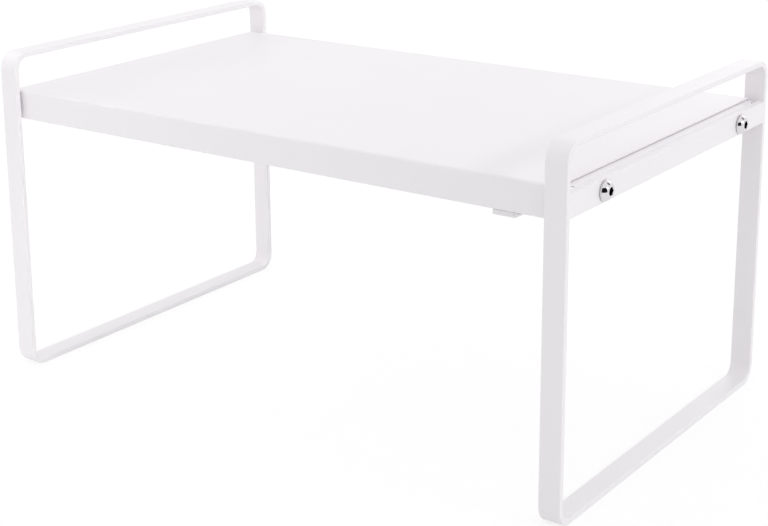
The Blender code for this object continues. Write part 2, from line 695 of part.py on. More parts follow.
def tail_shoe(shop, side):
    """Makes the nylon shoe that carries the inner board's tail on the outer board's lip."""
    web_y = INNER_LIP_EDGE_Y - FIT_GAP
    back_y = web_y - CLIP_WEB_THICKNESS
    pad_y = INNER_HALF_WIDTH - SHOE_PAD_MARGIN
    leg_y = INNER_HALF_WIDTH - BEND_OUTER_RADIUS - FIT_GAP
    leg_bottom_z = INNER_LIP_TOP_Z + FIT_GAP
    leg_top_z = leg_bottom_z + SHOE_TOP_THICKNESS
    outline = (
        (back_y, PAD_BOTTOM_Z), (pad_y, PAD_BOTTOM_Z), (pad_y, PAD_TOP_Z), (web_y, PAD_TOP_Z),
        (web_y, leg_bottom_z), (leg_y, leg_bottom_z), (leg_y, leg_top_z), (back_y, leg_top_z),
    )
    lip_clip(
        shop, f"shoe_{SIDE_NAMES[side]}", RIGHT, side, outline, SHOE_LENGTH, SHOE_X,
        INNER_LIP_HOLE_Y, PAD_TOP_Z - FIT_GAP, leg_bottom_z + FIT_GAP,
    )


def stop_stud(shop, side):
    """Turns the shouldered rivet through the inner lip that stops at the guide's pad."""
    head_radius = STUD_HEAD_DIAMETER / 2
    shank_radius = STUD_SHANK_DIAMETER / 2
    rivet_radius = STUD_RIVET_DIAMETER / 2
    rivet_z = INNER_LIP_TOP_Z + FIT_GAP - PAD_BOTTOM_Z
    points = [(0, rivet_z + STUD_RIVET_HEIGHT)]
    for step in range(1, DOME_SEGMENTS + 1):
        angle = step / DOME_SEGMENTS * math.pi / 2
        points.append((rivet_radius * math.sin(angle), rivet_z + STUD_RIVET_HEIGHT * math.cos(angle)))
    points.append((shank_radius, rivet_z))
    points.append((shank_radius, PAD_THICKNESS))
    points.append((head_radius, PAD_THICKNESS))
    points.append((head_radius, 0))
    points.append((0, 0))
    name = f"stop_stud_{SIDE_NAMES[side]}"
    matrix = place(STOP_X, side * INNER_LIP_HOLE_Y, PAD_BOTTOM_Z)
    turn_about_z(shop.piece(name, profile_mesh(name, points), ZINC_PLATE, RIGHT, matrix))


def build():
    """Builds the whole shelf, closed."""
    clear_scene()
    shop = Shop()
    for end in (LEFT, RIGHT):
        bar_loop(shop, end)
        cross_bar(shop, end)
        screws(shop, end)
        weld_nuts(shop, end)
    outer_board(shop)
    inner_board(shop)
    for side in (FRONT, REAR):
        stiffening_rib(shop, side)
        guide_clip(shop, side)
        tail_shoe(shop, side)
        stop_stud(shop, side)
    print(f"slide travel {SLIDE_TRAVEL:.4f} m")


build()
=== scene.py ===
"""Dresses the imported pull-out cabinet shelf: fine meshes, finishes, a studio and a camera.

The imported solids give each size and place. Every solid is stood for by a finer mesh of the same piece.
All lengths are metres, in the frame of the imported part: +X is the way the inner half pulls out, -Y is
the front and +Z is up.
"""

import logging
import math
from collections.abc import Callable, Iterator
from contextlib import contextmanager
from dataclasses import dataclass
from enum import Enum
from typing import Any

import bmesh
import bpy
from mathutils import Matrix, Vector


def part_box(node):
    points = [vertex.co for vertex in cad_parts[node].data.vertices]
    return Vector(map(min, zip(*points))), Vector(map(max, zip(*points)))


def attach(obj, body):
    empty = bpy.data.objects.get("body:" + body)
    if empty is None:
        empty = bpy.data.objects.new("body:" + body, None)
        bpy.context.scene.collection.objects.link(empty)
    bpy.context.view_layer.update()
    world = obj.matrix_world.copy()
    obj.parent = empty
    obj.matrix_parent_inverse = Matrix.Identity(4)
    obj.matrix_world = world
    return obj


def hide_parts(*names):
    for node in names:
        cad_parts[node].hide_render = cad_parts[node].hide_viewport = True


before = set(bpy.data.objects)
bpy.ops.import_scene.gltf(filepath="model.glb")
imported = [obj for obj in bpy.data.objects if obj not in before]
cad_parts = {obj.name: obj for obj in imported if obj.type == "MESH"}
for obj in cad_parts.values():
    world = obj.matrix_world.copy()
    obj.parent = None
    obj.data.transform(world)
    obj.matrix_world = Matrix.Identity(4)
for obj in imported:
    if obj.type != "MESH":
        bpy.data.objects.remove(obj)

LOG = logging.getLogger("cabinet_shelf")
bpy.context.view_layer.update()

FULL_TURN = 2 * math.pi
HALF_TURN = math.pi
QUARTER_TURN = math.pi / 2
HEXAGON_SIDES = 6
HOLE_SIDES = 48
WELD_DISTANCE = 0.000001
PLACE_TOLERANCE = 0.00001
CUT_OVERRUN = 0.002
SMOOTH_ANGLE = math.radians(31)
SHARP_ANGLE = math.radians(60)
FACING_SHARE = 0.5
MIX_COLOR_A = 6
MIX_COLOR_B = 7
MIX_COLOR_RESULT = 2

Obj = bpy.types.Object
Material = bpy.types.Material
World = bpy.types.World
Socket = bpy.types.NodeSocket
Edge = bmesh.types.BMEdge
Face = bmesh.types.BMFace
Color = tuple[float, float, float]
Point = tuple[float, float]
Place = tuple[float, float, float]
WHITE: Color = (1.0, 1.0, 1.0)


class End(Enum):
    """The two ends of the shelf, each with its loop."""

    LEFT = -1
    RIGHT = 1

    @property
    def label(self) -> str:
        """Returns the end's word in node names."""
        return self.name.lower()

    @property
    def body(self) -> str:
        """Returns the body that the end's pieces ride on."""
        return "fixed_half" if self is End.LEFT else "pull_out_half"

    @property
    def outward(self) -> Matrix:
        """Returns the turn that points +Z out of the end."""
        return Matrix.Rotation(self.value * QUARTER_TURN, 4, "Y")

    @property
    def inward(self) -> Matrix:
        """Returns the turn that points +X from the end into the shelf."""
        return Matrix.Rotation(0.0 if self is End.LEFT else HALF_TURN, 4, "Z")


class Side(Enum):
    """The two long sides of the shelf."""

    FRONT = -1
    REAR = 1

    @property
    def label(self) -> str:
        """Returns the side's word in node names."""
        return self.name.lower()


class Slot(Enum):
    """The finishes that the record names."""

    POWDER_COAT = "white_powder_coat"
    NICKEL = "bright_nickel"
    ZINC = "zinc_plate"
    NYLON = "white_nylon"


class Element(Enum):
    """What is picked in edit mode: the select mode's name and the mesh's list."""

    VERTICES = ("VERT", "verts")
    EDGES = ("EDGE", "edges")
    FACES = ("FACE", "faces")


@dataclass(frozen=True)
class Box:
    """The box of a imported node."""

    low: Vector
    high: Vector

    @classmethod
    def of(cls, node: str) -> "Box":
        """Returns the box of a node at rest."""
        return cls(*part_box(node))

    @property
    def size(self) -> Vector:
        """Returns the box's three extents."""
        return self.high - self.low

    @property
    def centre(self) -> Vector:
        """Returns the middle of the box."""
        return (self.low + self.high) / 2

    def outer_x(self, end: End) -> float:
        """Returns where the box ends on X, on the side of one end of the shelf."""
        return self.low.x if end is End.LEFT else self.high.x


@dataclass(frozen=True)
class Signal:
    """A number that varies over a surface and takes Python's operators."""

    graph: "Graph"
    socket: Socket

    def _maths(self, operation: str, first: Any, second: Any) -> "Signal":
        """Adds a Math node for two signals or numbers and returns its result."""
        node = self.graph.node("ShaderNodeMath", {"operation": operation}, {0: first, 1: second})
        return Signal(self.graph, node.outputs["Value"])

    def __add__(self, other: Any) -> "Signal":
        """Returns this plus another."""
        return self._maths("ADD", self, other)

    def __radd__(self, other: Any) -> "Signal":
        """Returns another plus this."""
        return self._maths("ADD", other, self)

    def __mul__(self, other: Any) -> "Signal":
        """Returns this times another."""
        return self._maths("MULTIPLY", self, other)

    def __rmul__(self, other: Any) -> "Signal":
        """Returns another times this."""
        return self._maths("MULTIPLY", other, self)

    def larger(self, other: Any) -> "Signal":
        """Returns the larger of this and another."""
        return self._maths("MAXIMUM", self, other)


class Graph:
    """The node graph of one material or world, started empty.

    Args:
        owner: The material or world.
    """

    def __init__(self, owner: Material | World) -> None:
        owner.use_nodes = True
        self.owner = owner
        self.tree = owner.node_tree
        self.tree.nodes.clear()

    @classmethod
    def of_material(cls, name: str) -> "Graph":
        """Returns the empty graph of a new material."""
        return cls(bpy.data.materials.new(name))

    def node(
        self, kind: str, settings: dict[str, Any] | None = None, inputs: dict[Any, Any] | None = None
    ) -> bpy.types.Node:
        """Adds a node, sets it up and feeds its sockets.

        Args:
            kind: The node's type.
            settings: Its properties, set first.
            inputs: Values, sockets or signals by the input's name or index.

        Returns:
            The node.
        """
        node = self.tree.nodes.new(kind)
        for name, value in (settings or {}).items():
            setattr(node, name, value)
        for key, value in (inputs or {}).items():
            self.feed(node.inputs[key], value)
        return node

    def feed(self, socket: Socket, value: Any) -> None:
        """Links an input to a signal or a socket, or gives it a value.

        Args:
            socket: The input.
            value: A signal, an output socket or a plain value.
        """
        source = value.socket if isinstance(value, Signal) else value
        if isinstance(source, Socket):
            self.tree.links.new(source, socket)
        else:
            socket.default_value = source

    def shader(self, kind: str, inputs: dict[Any, Any] | None = None) -> Socket:
        """Adds a shader node and returns its output."""
        return self.node(kind, inputs=inputs).outputs[0]

    def matt(self, color: Color) -> Socket:
        """Returns a plain matt surface."""
        return self.shader("ShaderNodeBsdfDiffuse", {"Color": (*color, 1.0)})

    def place(self, stretch: Place = (1.0, 1.0, 1.0)) -> Socket:
        """Returns the point on the object, stretched along the axes."""
        point = self.node("ShaderNodeTexCoord").outputs["Object"]
        return self.node("ShaderNodeMapping", inputs={"Vector": point, "Scale": stretch}).outputs["Vector"]

    def noise(self, point: Socket, size: float, detail: float = 2.0) -> Signal:
        """Returns soft noise from 0 to 1, with patches of a size and finer layers in them."""
        inputs = {"Vector": point, "Scale": 1 / size, "Detail": detail}
        return Signal(self, self.node("ShaderNodeTexNoise", inputs=inputs).outputs["Fac"])

    def cells(self, point: Socket, size: float, smoothness: float) -> Signal:
        """Returns the distance, in cells, to the nearest of scattered centres that melt together."""
        inputs = {"Vector": point, "Scale": 1 / size, "Smoothness": smoothness}
        return Signal(self, self.node("ShaderNodeTexVoronoi", {"feature": "SMOOTH_F1"}, inputs).outputs[0])

    def blend(self, factor: Signal, first: Color, second: Color) -> Socket:
        """Mixes two colours by the share of the second."""
        inputs = {0: factor, MIX_COLOR_A: (*first, 1.0), MIX_COLOR_B: (*second, 1.0)}
        return self.node("ShaderNodeMix", {"data_type": "RGBA"}, inputs).outputs[MIX_COLOR_RESULT]

    def bump(self, height: Signal, depth: float) -> Socket:
        """Returns the normal of a relief, whose height from 0 to 1 makes up a depth."""
        return self.node("ShaderNodeBump", inputs={"Height": height, "Distance": depth}).outputs["Normal"]

    def show(self, surface: Socket) -> None:
        """Shows a surface as the material or world."""
        kind = "World" if isinstance(self.owner, World) else "Material"
        self.node(f"ShaderNodeOutput{kind}", inputs={"Surface": surface})


@dataclass(frozen=True)
class Finish:
    """What every finish has: two colours that mix, and a roughness that varies."""

    light: Color
    shade: Color
    roughness: float
    roughness_spread: float

    def dressed(
        self, graph: Graph, tint: Signal, dulling: Signal, normal: Socket, metallic: float = 0.0
    ) -> Material:
        """Ends the finish's material.

        Args:
            graph: The finish's graph.
            tint: How much of the shade shows.
            dulling: Where it is rougher.
            normal: The normal that its relief gives.
            metallic: 1 for bare metal.

        Returns:
            The material.
        """
        inputs = {
            "Base Color": graph.blend(tint, self.light, self.shade),
            "Metallic": metallic,
            "Roughness": dulling * self.roughness_spread + (self.roughness - self.roughness_spread / 2),
            "Normal": normal,
        }
        graph.show(graph.shader("ShaderNodeBsdfPrincipled", inputs))
        return graph.owner


@dataclass(frozen=True)
class PowderCoat(Finish):
    """Satin white powder coat: a soft orange peel with fine grains of texture."""

    light: Color = (0.905, 0.884, 0.905)
    shade: Color = (0.885, 0.863, 0.886)
    roughness: float = 0.40
    roughness_spread: float = 0.10
    drift_size: float = 0.045
    peel_size: float = 0.0022
    grain_size: float = 0.0005
    peel_depth: float = 0.000022
    grain_share: float = 0.22

    def material(self) -> Material:
        """Returns the finish as a material."""
        graph = Graph.of_material(Slot.POWDER_COAT.value)
        point = graph.place()
        drift = graph.noise(point, self.drift_size)
        peel = graph.cells(point, self.peel_size, smoothness=1.0)
        grain = graph.noise(point, self.grain_size, detail=1.0)
        mottle = drift * (1 - self.grain_share) + grain * self.grain_share
        relief = peel * (1 - self.grain_share) + grain * self.grain_share
        return self.dressed(graph, mottle, drift, graph.bump(relief, self.peel_depth))


@dataclass(frozen=True)
class BrightNickel(Finish):
    """Bright nickel plate with the faint marks of barrel plating."""

    light: Color = (0.76, 0.74, 0.76)
    shade: Color = (0.70, 0.68, 0.70)
    roughness: float = 0.08
    roughness_spread: float = 0.08
    cloud_size: float = 0.0016
    scratch_size: float = 0.00025
    scratch_stretch: Place = (0.12, 1.0, 0.45)
    scratch_depth: float = 0.0000016

    def material(self) -> Material:
        """Returns the finish as a material."""
        graph = Graph.of_material(Slot.NICKEL.value)
        cloud = graph.noise(graph.place(), self.cloud_size)
        scratch = graph.noise(graph.place(self.scratch_stretch), self.scratch_size)
        return self.dressed(graph, cloud, cloud, graph.bump(scratch, self.scratch_depth), metallic=1.0)


@dataclass(frozen=True)
class SocketPaintedShade(Finish):
    """Nickel painted near black and dull over the torn walls of a punched socket: painted shade of the
    recess.
    """

    light: Color = (0.060, 0.058, 0.057)
    shade: Color = (0.022, 0.021, 0.021)
    roughness: float = 0.45
    roughness_spread: float = 0.20
    tear_size: float = 0.0002
    tear_stretch: Place = (0.15, 1.0, 1.0)
    tear_depth: float = 0.00001

    def material(self) -> Material:
        """Returns the finish as a material."""
        # Painted shade: near-black colours stand in for the shade inside the socket; the tears give tint and
        # relief.
        graph = Graph.of_material("socket_painted_shade")
        tears = graph.noise(graph.place(self.tear_stretch), self.tear_size)
        return self.dressed(graph, tears, tears, graph.bump(tears, self.tear_depth), metallic=1.0)


@dataclass(frozen=True)
class ZincPlate(Finish):
    """Dull zinc plate with a faint spangle."""

    light: Color = (0.64, 0.65, 0.665)
    shade: Color = (0.54, 0.545, 0.55)
    roughness: float = 0.38
    roughness_spread: float = 0.16
    spangle_size: float = 0.0014
    grain_size: float = 0.0003
    grain_depth: float = 0.000004

    def material(self) -> Material:
        """Returns the finish as a material."""
        graph = Graph.of_material(Slot.ZINC.value)
        point = graph.place()
        spangle = graph.cells(point, self.spangle_size, smoothness=0.2)
        grain = graph.noise(point, self.grain_size)
        return self.dressed(graph, spangle, spangle, graph.bump(grain, self.grain_depth), metallic=1.0)


@dataclass(frozen=True)
class WhiteNylon(Finish):
    """Moulded white nylon with the fine grain of an eroded mould."""

    light: Color = (0.85, 0.835, 0.85)
    shade: Color = (0.82, 0.80, 0.82)
    roughness: float = 0.50
    roughness_spread: float = 0.10
    cloud_size: float = 0.006
    grain_size: float = 0.00018
    grain_depth: float = 0.000006

    def material(self) -> Material:
        """Returns the finish as a material."""
        graph = Graph.of_material(Slot.NYLON.value)
        point = graph.place()
        cloud = graph.noise(point, self.cloud_size)
        grain = graph.noise(point, self.grain_size)
        return self.dressed(graph, cloud, grain, graph.bump(grain, self.grain_depth))


def at(x: float, y: float, z: float) -> Matrix:
    """Returns the move from the origin to a point."""
    return Matrix.Translation((x, y, z))


def arc(first: float, last: float, steps: int) -> Iterator[float]:
    """Yields evenly spaced angles from the first to the last, both included."""
    for step in range(steps + 1):
        yield first + (last - first) * step / steps


def lies_at(edge: Edge, axis: int, position: float) -> bool:
    """Returns whether both ends of an edge lie at a position on an axis."""
    return all(abs(vert.co[axis] - position) < PLACE_TOLERANCE for vert in edge.verts)


def is_fold(edge: Edge) -> bool:
    """Returns whether an edge of a sheet is a fold line."""
    return len(edge.link_faces) == 2 and edge.calc_face_angle() > SMOOTH_ANGLE


class Bench:
    """Models one mesh at a time with Blender's operators, as by hand."""

    def activate(self, obj: Obj) -> None:
        """Makes an object the only selected one, and the active one."""
        bpy.ops.object.select_all(action="DESELECT")
        obj.select_set(True)
        bpy.context.view_layer.objects.active = obj

    def _named(self, name: str) -> Obj:
        """Names the active object and its mesh, and returns it."""
        obj = bpy.context.active_object
        obj.name = obj.data.name = name
        return obj

    def _sized(self, obj: Obj, size: Vector | Place) -> Obj:
        """Applies an object's place and turn and a size to its mesh, and returns it.

        Args:
            obj: The object.
            size: The factor on each axis.

        Returns:
            The object, at the origin.
        """
        obj.scale = size
        self.activate(obj)
        bpy.ops.object.transform_apply(location=True, rotation=True, scale=True)
        return obj

    def plane(self, name: str, size_x: float, size_y: float, centre_x: float = 0.0) -> Obj:
        """Adds a flat sheet in the XY plane, with its middle at a place on X."""
        bpy.ops.mesh.primitive_plane_add(size=1.0, location=(centre_x, 0.0, 0.0))
        return self._sized(self._named(name), (size_x, size_y, 1.0))

    def block(self, name: str, low: Vector, high: Vector) -> Obj:
        """Adds a block between its lowest and its highest corner."""
        bpy.ops.mesh.primitive_cube_add(size=1.0, location=(low + high) / 2)
        return self._sized(self._named(name), high - low)

    def rod(self, name: str, radius: float, depth: float, sides: int) -> Obj:
        """Adds a rod or prism along Z, centred on the origin, with its radius at its corners."""
        bpy.ops.mesh.primitive_cylinder_add(vertices=sides, radius=radius, depth=depth)
        return self._named(name)

    @contextmanager
    def editing(self, obj: Obj) -> Iterator[None]:
        """Keeps an object in edit mode for the length of a with block, which starts on vertices."""
        self.activate(obj)
        bpy.ops.object.mode_set(mode="EDIT")
        bpy.ops.mesh.select_mode(type="VERT")
        yield
        bpy.ops.object.mode_set(mode="OBJECT")

    def pick(self, kind: Element, test: Callable[[Any], bool]) -> None:
        """Selects the elements of the edited mesh that pass a test, and no others.

        Args:
            kind: Vertices, edges or faces.
            test: Whether an element is picked.
        """
        mode, layer = kind.value
        bpy.ops.mesh.select_mode(type=mode)
        bpy.ops.mesh.select_all(action="DESELECT")
        data = bpy.context.active_object.data
        mesh = bmesh.from_edit_mesh(data)
        for item in filter(test, getattr(mesh, layer)):
            item.select_set(True)
        mesh.select_flush_mode()
        bmesh.update_edit_mesh(data)

    def pick_free_edges(self, axis: int, position: float) -> None:
        """Selects the open edges of a sheet that lie at a position on an axis."""
        self.pick(Element.EDGES, lambda edge: edge.is_boundary and lies_at(edge, axis, position))

    def divide(self, axis: int, position: float) -> None:
        """Cuts the edited mesh across at a position on an axis, and keeps both parts.

        Args:
            axis: The axis, from 0 to 2.
            position: The place on it.
        """
        normal = Vector((0.0, 0.0, 0.0))
        normal[axis] = 1.0
        bpy.ops.mesh.select_all(action="SELECT")
        bpy.ops.mesh.bisect(plane_co=normal * position, plane_no=normal)

    def extrude_edges(self, move: Place) -> None:
        """Extrudes the selected edges by a move."""
        bpy.ops.mesh.extrude_edges_move(TRANSFORM_OT_translate={"value": move})

    def bevel(self, size: float, segments: int, kind: str = "EDGES") -> None:
        """Rounds the selected edges, or the corners of a flat outline."""
        bpy.ops.mesh.bevel(offset=size, segments=segments, affect=kind)

    def turned(self, name: str, outline: list[Point], sides: int) -> Obj:
        """Turns a half outline about Z.

        Args:
            name: The object's name.
            outline: Radius and height of each point, from one end on the axis to the other.
            sides: How many sides the turned shape has.

        Returns:
            The closed turned shape.
        """
        obj = self.plane(name, CUT_OVERRUN, CUT_OVERRUN)
        with self.editing(obj):
            bpy.ops.mesh.select_all(action="SELECT")
            bpy.ops.mesh.merge(type="CENTER")
            bpy.ops.transform.translate(value=(outline[0][0], 0.0, outline[0][1]))
            for (radius, height), (next_radius, next_height) in zip(outline, outline[1:]):
                step = (next_radius - radius, 0.0, next_height - height)
                bpy.ops.mesh.extrude_vertices_move(TRANSFORM_OT_translate={"value": step})
            bpy.ops.mesh.select_all(action="SELECT")
            bpy.ops.mesh.spin(steps=sides, angle=FULL_TURN, center=(0, 0, 0), axis=(0, 0, 1))
            self.close_seams()
        return obj

    def close_seams(self) -> None:
        """Merges the edited mesh's doubles and turns its faces outward."""
        bpy.ops.mesh.select_all(action="SELECT")
        bpy.ops.mesh.remove_doubles(threshold=WELD_DISTANCE)
        bpy.ops.mesh.normals_make_consistent(inside=False)

    def face_sheet(self, outward_z: float) -> None:
        """Turns all faces of the edited sheet one way.

        Args:
            outward_z: 1 where the sheet's largest face looks up, -1 where it looks down.
        """
        bpy.ops.mesh.select_all(action="SELECT")
        bpy.ops.mesh.normals_make_consistent(inside=False)
        mesh = bmesh.from_edit_mesh(bpy.context.active_object.data)
        largest = max(mesh.faces, key=lambda face: face.calc_area())
        if largest.normal.z * outward_z < 0:
            bpy.ops.mesh.flip_normals()

    def modify(self, obj: Obj, kind: str, **settings: Any) -> None:
        """Adds a modifier and applies it.

        Args:
            obj: The object.
            kind: The modifier's type.
            **settings: The modifier's properties.
        """
        modifier = obj.modifiers.new(kind, kind)
        for name, value in settings.items():
            setattr(modifier, name, value)
        self.activate(obj)
        bpy.ops.object.modifier_apply(modifier=modifier.name)

    def round_edges(self, obj: Obj, radius: float, segments: int) -> None:
        """Rounds an object's sharp edges with a number of faces each."""
        limits = {"limit_method": "ANGLE", "angle_limit": SHARP_ANGLE}
        self.modify(obj, "BEVEL", width=radius, segments=segments, **limits)

    def thicken(self, obj: Obj, thickness: float) -> None:
        """Gives a folded sheet its thickness, inward from the face that was modelled."""
        self.modify(obj, "SOLIDIFY", thickness=thickness, offset=-1.0, use_even_offset=True)

    def combine(self, obj: Obj, tool: Obj, operation: str = "DIFFERENCE") -> None:
        """Changes an object by a tool shape with a Boolean operation, and removes the tool."""
        self.modify(obj, "BOOLEAN", object=tool, operation=operation, solver="EXACT")
        self.scrap(tool)

    def scrap(self, *objs: Obj) -> None:
        """Removes tools and models that have done their work."""
        for obj in objs:
            bpy.data.objects.remove(obj, do_unlink=True)

    def drill(
        self, obj: Obj, radius: float, depth: float, placement: Matrix, sides: int = HOLE_SIDES
    ) -> None:
        """Cuts a rod out of an object, placed from upright on the origin."""
        self.combine(obj, self.settle(self.rod("drill", radius, depth, sides), placement))

    def plug(self, obj: Obj, radius: float, depth: float, placement: Matrix, sides: int) -> None:
        """Joins a rod to an object, placed as a drill is."""
        self.combine(obj, self.settle(self.rod("plug", radius, depth, sides), placement), "UNION")

    def settle(self, obj: Obj, placement: Matrix) -> Obj:
        """Moves a mesh to its place, with its object left at the origin, and returns it."""
        obj.matrix_world = placement
        return self._sized(obj, obj.scale)

    def copied(self, obj: Obj, name: str) -> Obj:
        """Copies an object with a mesh of its own.

        Args:
            obj: The object.
            name: The copy's name.

        Returns:
            The copy.
        """
        self.activate(obj)
        bpy.ops.object.duplicate(linked=False)
        return self._named(name)

    def paint(self, obj: Obj, finish: Material, test: Callable[[Any], bool]) -> None:
        """Gives a finish of their own to the faces that pass a test.

        Args:
            obj: The object, which has its main finish.
            finish: The faces' finish.
            test: Whether a face takes it.
        """
        obj.data.materials.append(finish)
        with self.editing(obj):
            self.pick(Element.FACES, test)
            obj.active_material_index = len(obj.data.materials) - 1
            bpy.ops.object.material_slot_assign()

    def finish(self, obj: Obj) -> None:
        """Merges doubles, drops faces without area, and shades round faces smooth and flat ones flat."""
        with self.editing(obj):
            bpy.ops.mesh.select_all(action="SELECT")
            bpy.ops.mesh.remove_doubles(threshold=WELD_DISTANCE)
            bpy.ops.mesh.select_all(action="SELECT")
            bpy.ops.mesh.dissolve_degenerate(threshold=WELD_DISTANCE)
        self.activate(obj)
        bpy.ops.object.shade_smooth_by_angle(angle=SMOOTH_ANGLE)
        self.modify(obj, "WEIGHTED_NORMAL", keep_sharp=True)


@dataclass
class Workshop:
    """The bench and the finishes that every piece shares."""

    bench: Bench
    finishes: dict[Slot, Material]
    # The near-black nickel painted into the screw sockets as painted shade.
    socket_painted_shade: Material

    def hand_over(self, obj: Obj, slot: Slot, end: End, node: str) -> None:
        """Finishes a piece, paints it if it is bare, and lets it ride in place of its node.

        Args:
            obj: The piece, in its place.
            slot: Its finish.
            end: The end whose body it rides on.
            node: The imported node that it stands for.
        """
        self.bench.finish(obj)
        if not any(obj.data.materials):
            obj.data.materials.clear()
            obj.data.materials.append(self.finishes[slot])
        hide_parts(node)
        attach(obj, end.body)
        LOG.info("%s stands for %s with %d faces", obj.name, node, len(obj.data.polygons))

    def put(self, model: Obj, name: str, placement: Matrix, slot: Slot, end: End, node: str) -> None:
        """Puts a copy of what was modelled once in its place, and hands it over."""
        self.hand_over(self.bench.settle(self.bench.copied(model, name), placement), slot, end, node)


@dataclass
class Piece:
    """Something that is modelled in the workshop, and has its sizes as fields."""

    shop: Workshop

    @property
    def bench(self) -> Bench:
        """Returns the workshop's bench."""
        return self.shop.bench


@dataclass
class LoopFrame(Piece):
    """The flat-bar loop and the cross bar welded between its legs, which both ends have."""

    corner_radius: float = 0.010
    corner_segments: int = 24
    edge_radius: float = 0.0005
    edge_segments: int = 4
    board_gap: float = 0.00028
    coat_fillet: float = 0.00045
    hole_radius: float = 0.0033
    bead_radius: float = 0.0017
    bead_length: float = 0.0104
    bead_sides: int = 16
    bead_rings: int = 13
    bead_ripple_share: float = 0.86
    bead_end_share: float = 0.55

    def build(self) -> None:
        """Models one loop and one cross bar and puts a copy of each at both ends."""
        loop, bar = self.bent_loop(), self.cross_bar()
        upright = Matrix(((0, 0, 1), (1, 0, 0), (0, 1, 0))).to_4x4()
        for end in End:
            word = end.label
            box = Box.of(f"{word}_loop")
            place = Matrix.Translation(box.centre) @ upright
            self.shop.put(loop, f"{word}_bent_bar", place, Slot.POWDER_COAT, end, f"{word}_loop")
            place = at(box.outer_x(end), 0.0, 0.0) @ end.inward
            self.shop.put(bar, f"{word}_welded_bar", place, Slot.POWDER_COAT, end, f"{word}_cross_bar")
        self.bench.scrap(loop, bar)

    def bent_loop(self) -> Obj:
        """Bends a flat bar to a closed loop: an outline, an inset and the bar's width.

        Returns:
            The loop, flat on the origin.
        """
        bench = self.bench
        size = Box.of("left_loop").size
        obj = bench.plane("bent_bar", size.y, size.z)
        with bench.editing(obj):
            bpy.ops.mesh.select_all(action="SELECT")
            bench.bevel(self.corner_radius, self.corner_segments, "VERTICES")
            bpy.ops.mesh.select_all(action="SELECT")
            bpy.ops.mesh.inset(thickness=Box.of("left_cross_bar").size.x, use_even_offset=True)
            bpy.ops.mesh.delete(type="FACE")
        bench.modify(obj, "SOLIDIFY", thickness=size.x, offset=0.0)
        bench.round_edges(obj, self.edge_radius, self.edge_segments)
        return obj

    def cross_bar(self) -> Obj:
        """Cuts a cross bar to length, drills it and lays its weld beads behind it.

        Powder coat fills the corner between the bar's top and the board's end.

        Returns:
            The bar, with its outer face at 0 on X and the board on its +X side.
        """
        bench = self.bench
        box, loop = Box.of("left_cross_bar"), Box.of("left_loop")
        leg_y = loop.high.y - box.size.x
        end_y = leg_y + self.edge_radius
        board_x = box.size.x + self.board_gap
        low = Vector((0.0, -end_y, box.low.z))
        high = Vector((board_x, end_y, box.high.z))
        obj = bench.block("welded_bar", low, high)
        with bench.editing(obj):
            bench.divide(0, board_x - self.coat_fillet)
            bench.pick(
                Element.VERTICES,
                lambda vert: abs(vert.co.x - board_x) < PLACE_TOLERANCE
                and vert.co.z > high.z - PLACE_TOLERANCE,
            )
            bpy.ops.transform.translate(value=(0.0, 0.0, self.coat_fillet))
            bench.pick(
                Element.EDGES,
                lambda edge: abs(edge.verts[0].co.y - edge.verts[1].co.y) > self.corner_radius
                and edge.calc_face_angle() > SHARP_ANGLE
                and not lies_at(edge, 0, board_x),
            )
            bench.bevel(self.edge_radius, self.edge_segments)
        for side in Side:
            screw = Box.of(f"left_screw_{side.label}").centre
            place = at(box.size.x / 2, screw.y, screw.z) @ End.LEFT.outward
            bench.drill(obj, self.hole_radius, box.size.x + 2 * CUT_OVERRUN, place)
        beads = [self.bead(Vector((box.size.x, side.value * leg_y, box.centre.z))) for side in Side]
        bench.activate(obj)
        for bead in beads:
            bead.select_set(True)
        bpy.ops.object.join()
        return obj

    def bead(self, place: Vector) -> Obj:
        """Lays a rippled weld bead up a corner.

        Args:
            place: The middle of the bead.

        Returns:
            The bead.
        """
        bench = self.bench
        obj = bench.rod("weld_bead", self.bead_radius, self.bead_length, self.bead_sides)
        spacing = self.bead_length / (self.bead_rings + 1)
        with bench.editing(obj):
            bench.pick(Element.EDGES, lambda edge: abs(edge.verts[0].co.z - edge.verts[1].co.z) > spacing)
            bpy.ops.mesh.subdivide(number_cuts=self.bead_rings)
            for ring in range(self.bead_rings + 2):
                at_end = ring in (0, self.bead_rings + 1)
                share = self.bead_end_share if at_end else self.bead_ripple_share
                if at_end or ring % 2:
                    height = ring * spacing - self.bead_length / 2
                    bench.pick(
                        Element.VERTICES, lambda vert, level=height: abs(vert.co.z - level) < spacing / 2
                    )
                    bpy.ops.transform.resize(value=(share, share, 1.0), center_override=(0.0, 0.0, height))
        bench.modify(obj, "SUBSURF", levels=1, render_levels=1)
        return bench.settle(obj, Matrix.Translation(place))


